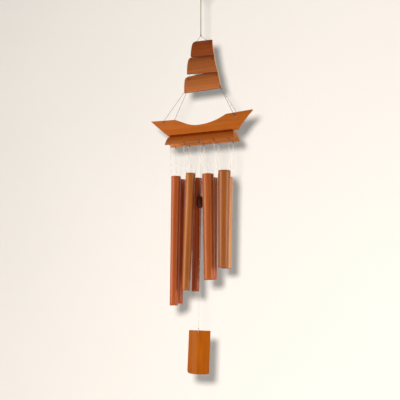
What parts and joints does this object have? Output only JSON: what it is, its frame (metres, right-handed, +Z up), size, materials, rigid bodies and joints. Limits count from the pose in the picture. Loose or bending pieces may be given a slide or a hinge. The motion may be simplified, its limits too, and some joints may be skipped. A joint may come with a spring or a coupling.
{
  "type": "wind chime",
  "caption": "Hanging bamboo wind chime shaped as a sailing ship: curved slat sails and hull over a half-round spreader, with hollow hanging tubes, a middle clapper and a wind catcher.",
  "frame": {"origin": "the point where the hanging ring rests on its hook: the inside top of the ring, on the middle line of the chime", "axes": "+Z up, +X along the ship towards its right-hand tip seen from the front, -Y towards the front, where the sails bulge"},
  "size_m": [0.1896, 0.0425, 0.6813],
  "materials": {
    "ring_steel": "polished wire",
    "twine": "undyed twisted twine",
    "nylon_thread": "clear to white nylon thread",
    "top_sail_bamboo": "stained and lacquered bamboo, dark",
    "sail_bamboo": "stained and lacquered bamboo",
    "hull_bamboo": "lacquered bamboo, light orange",
    "spreader_bamboo": "stained and lacquered bamboo",
    "tube_bamboo": "stained and lacquered bamboo, glossy",
    "clapper_wood": "dark stained hardwood",
    "catcher_bamboo": "stained and lacquered bamboo"
  },
  "bodies": {
    "ring": {"hanging_ring": "ring_steel"},
    "loop": {"hanger_loop": "twine"},
    "hanger": {"hanger_cord": "twine"},
    "ship": {"rig_knot": "twine", "rig_line_left_front": "nylon_thread", "rig_line_left_rear": "nylon_thread", "rig_line_right_front": "nylon_thread", "rig_line_right_rear": "nylon_thread", "sail_top": "top_sail_bamboo", "sail_middle": "sail_bamboo", "sail_bottom": "sail_bamboo", "hull_front": "hull_bamboo", "hull_rear": "hull_bamboo", "spreader": "spreader_bamboo", "spreader_tie_front_1": "nylon_thread", "spreader_tie_front_2": "nylon_thread", "spreader_tie_front_3": "nylon_thread", "spreader_tie_front_4": "nylon_thread", "spreader_tie_front_5": "nylon_thread", "spreader_tie_rear_1": "nylon_thread", "spreader_tie_rear_2": "nylon_thread", "spreader_tie_rear_3": "nylon_thread", "spreader_tie_rear_4": "nylon_thread", "spreader_tie_rear_5": "nylon_thread"},
    "thread_front_1": {"tube_thread_front_1": "nylon_thread"},
    "tube_front_1": {"tube_front_1": "tube_bamboo"},
    "thread_front_2": {"tube_thread_front_2": "nylon_thread"},
    "tube_front_2": {"tube_front_2": "tube_bamboo"},
    "thread_front_3": {"tube_thread_front_3": "nylon_thread"},
    "tube_front_3": {"tube_front_3": "tube_bamboo"},
    "thread_front_4": {"tube_thread_front_4": "nylon_thread"},
    "tube_front_4": {"tube_front_4": "tube_bamboo"},
    "thread_rear_1": {"tube_thread_rear_1": "nylon_thread"},
    "tube_rear_1": {"tube_rear_1": "tube_bamboo"},
    "thread_rear_2": {"tube_thread_rear_2": "nylon_thread"},
    "tube_rear_2": {"tube_rear_2": "tube_bamboo"},
    "thread_rear_3": {"tube_thread_rear_3": "nylon_thread"},
    "tube_rear_3": {"tube_rear_3": "tube_bamboo"},
    "thread_rear_4": {"tube_thread_rear_4": "nylon_thread"},
    "tube_rear_4": {"tube_rear_4": "tube_bamboo"},
    "crown_knot": {"crown_knot": "nylon_thread"},
    "clapper": {"clapper_line": "nylon_thread", "clapper": "clapper_wood"},
    "clapper_knot": {"clapper_knot": "nylon_thread"},
    "catcher_line": {"catcher_line": "nylon_thread"},
    "catcher_tie": {"catcher_tie": "nylon_thread"},
    "catcher": {"catcher": "catcher_bamboo"}
  },
  "joints": [
    {"name": "cord_swing_fore_aft", "type": "hinge", "parent": "ring", "child": "loop", "pos_m": [0, 0, -0.017], "axis": [1, 0, 0], "range_deg": [-40, 40]},
    {"name": "cord_swing_side", "type": "hinge", "parent": "loop", "child": "hanger", "pos_m": [0, 0, -0.0235], "axis": [0, 1, 0], "range_deg": [-30, 30]},
    {"name": "ship_spin", "type": "hinge", "parent": "hanger", "child": "ship", "pos_m": [0, 0, -0.0876], "axis": [0, 0, 1], "continuous": true},
    {"name": "tube_front_1_swing", "type": "hinge", "parent": "ship", "child": "thread_front_1", "pos_m": [-0.04025, -0.0115, -0.2906], "axis": [-1, 0, 0], "range_deg": [-0.3, 35]},
    {"name": "tube_front_1_rock", "type": "hinge", "parent": "thread_front_1", "child": "tube_front_1", "pos_m": [-0.04227, -0.0115, -0.3577], "axis": [-1, 0, 0], "range_deg": [-0.25, 15]},
    {"name": "tube_front_2_swing", "type": "hinge", "parent": "ship", "child": "thread_front_2", "pos_m": [-0.01275, -0.0115, -0.2906], "axis": [-1, 0, 0], "range_deg": [-0.3, 35]},
    {"name": "tube_front_2_rock", "type": "hinge", "parent": "thread_front_2", "child": "tube_front_2", "pos_m": [-0.01482, -0.0115, -0.35409], "axis": [-1, 0, 0], "range_deg": [-0.25, 15]},
    {"name": "tube_front_3_swing", "type": "hinge", "parent": "ship", "child": "thread_front_3", "pos_m": [0.01475, -0.0115, -0.2906], "axis": [-1, 0, 0], "range_deg": [-0.3, 35]},
    {"name": "tube_front_3_rock", "type": "hinge", "parent": "thread_front_3", "child": "tube_front_3", "pos_m": [0.01756, -0.0115, -0.3577], "axis": [-1, 0, 0], "range_deg": [-0.25, 15]},
    {"name": "tube_front_4_swing", "type": "hinge", "parent": "ship", "child": "thread_front_4", "pos_m": [0.04225, -0.0115, -0.2906], "axis": [-1, 0, 0], "range_deg": [-0.3, 35]},
    {"name": "tube_front_4_rock", "type": "hinge", "parent": "thread_front_4", "child": "tube_front_4", "pos_m": [0.0472, -0.0115, -0.3539], "axis": [-1, 0, 0], "range_deg": [-0.25, 15]},
    {"name": "tube_rear_1_swing", "type": "hinge", "parent": "ship", "child": "thread_rear_1", "pos_m": [-0.04025, 0.0115, -0.2906], "axis": [1, 0, 0], "range_deg": [-0.3, 35]},
    {"name": "tube_rear_1_rock", "type": "hinge", "parent": "thread_rear_1", "child": "tube_rear_1", "pos_m": [-0.04312, 0.0115, -0.3597], "axis": [1, 0, 0], "range_deg": [-0.25, 15]},
    {"name": "tube_rear_2_swing", "type": "hinge", "parent": "ship", "child": "thread_rear_2", "pos_m": [-0.01275, 0.0115, -0.2906], "axis": [1, 0, 0], "range_deg": [-0.3, 35]},
    {"name": "tube_rear_2_rock", "type": "hinge", "parent": "thread_rear_2", "child": "tube_rear_2", "pos_m": [-0.01161, 0.0115, -0.3593], "axis": [1, 0, 0], "range_deg": [-0.25, 15]},
    {"name": "tube_rear_3_swing", "type": "hinge", "parent": "ship", "child": "thread_rear_3", "pos_m": [0.01475, 0.0115, -0.2906], "axis": [1, 0, 0], "range_deg": [-0.3, 35]},
    {"name": "tube_rear_3_rock", "type": "hinge", "parent": "thread_rear_3", "child": "tube_rear_3", "pos_m": [0.01729, 0.0115, -0.3606], "axis": [1, 0, 0], "range_deg": [-0.25, 15]},
    {"name": "tube_rear_4_swing", "type": "hinge", "parent": "ship", "child": "thread_rear_4", "pos_m": [0.04225, 0.0115, -0.2906], "axis": [1, 0, 0], "range_deg": [-0.3, 35]},
    {"name": "tube_rear_4_rock", "type": "hinge", "parent": "thread_rear_4", "child": "tube_rear_4", "pos_m": [0.04483, 0.0115, -0.3616], "axis": [1, 0, 0], "range_deg": [-0.25, 15]},
    {"name": "clapper_swing_side", "type": "hinge", "parent": "ship", "child": "crown_knot", "pos_m": [0, 0, -0.2708], "axis": [0, 1, 0], "range_deg": [-0.4, 0.4]},
    {"name": "clapper_swing_fore_aft", "type": "hinge", "parent": "crown_knot", "child": "clapper", "pos_m": [0, 0, -0.2708], "axis": [1, 0, 0], "range_deg": [-0.5, 0.5]},
    {"name": "catcher_line_side", "type": "hinge", "parent": "clapper", "child": "clapper_knot", "pos_m": [-0.00162, 0, -0.40134], "axis": [0, 1, 0], "range_deg": [-15, 15]},
    {"name": "catcher_line_fore_aft", "type": "hinge", "parent": "clapper_knot", "child": "catcher_line", "pos_m": [-0.00162, 0, -0.40134], "axis": [1, 0, 0], "range_deg": [-20, 20]},
    {"name": "catcher_spin", "type": "hinge", "parent": "catcher_line", "child": "catcher_tie", "pos_m": [-0.00413, 0, -0.60407], "axis": [0, 0, 1], "continuous": true},
    {"name": "catcher_tilt", "type": "hinge", "parent": "catcher_tie", "child": "catcher", "pos_m": [-0.0042, 0, -0.61087], "axis": [1, 0, 0], "range_deg": [-15, 15]}
  ]
}
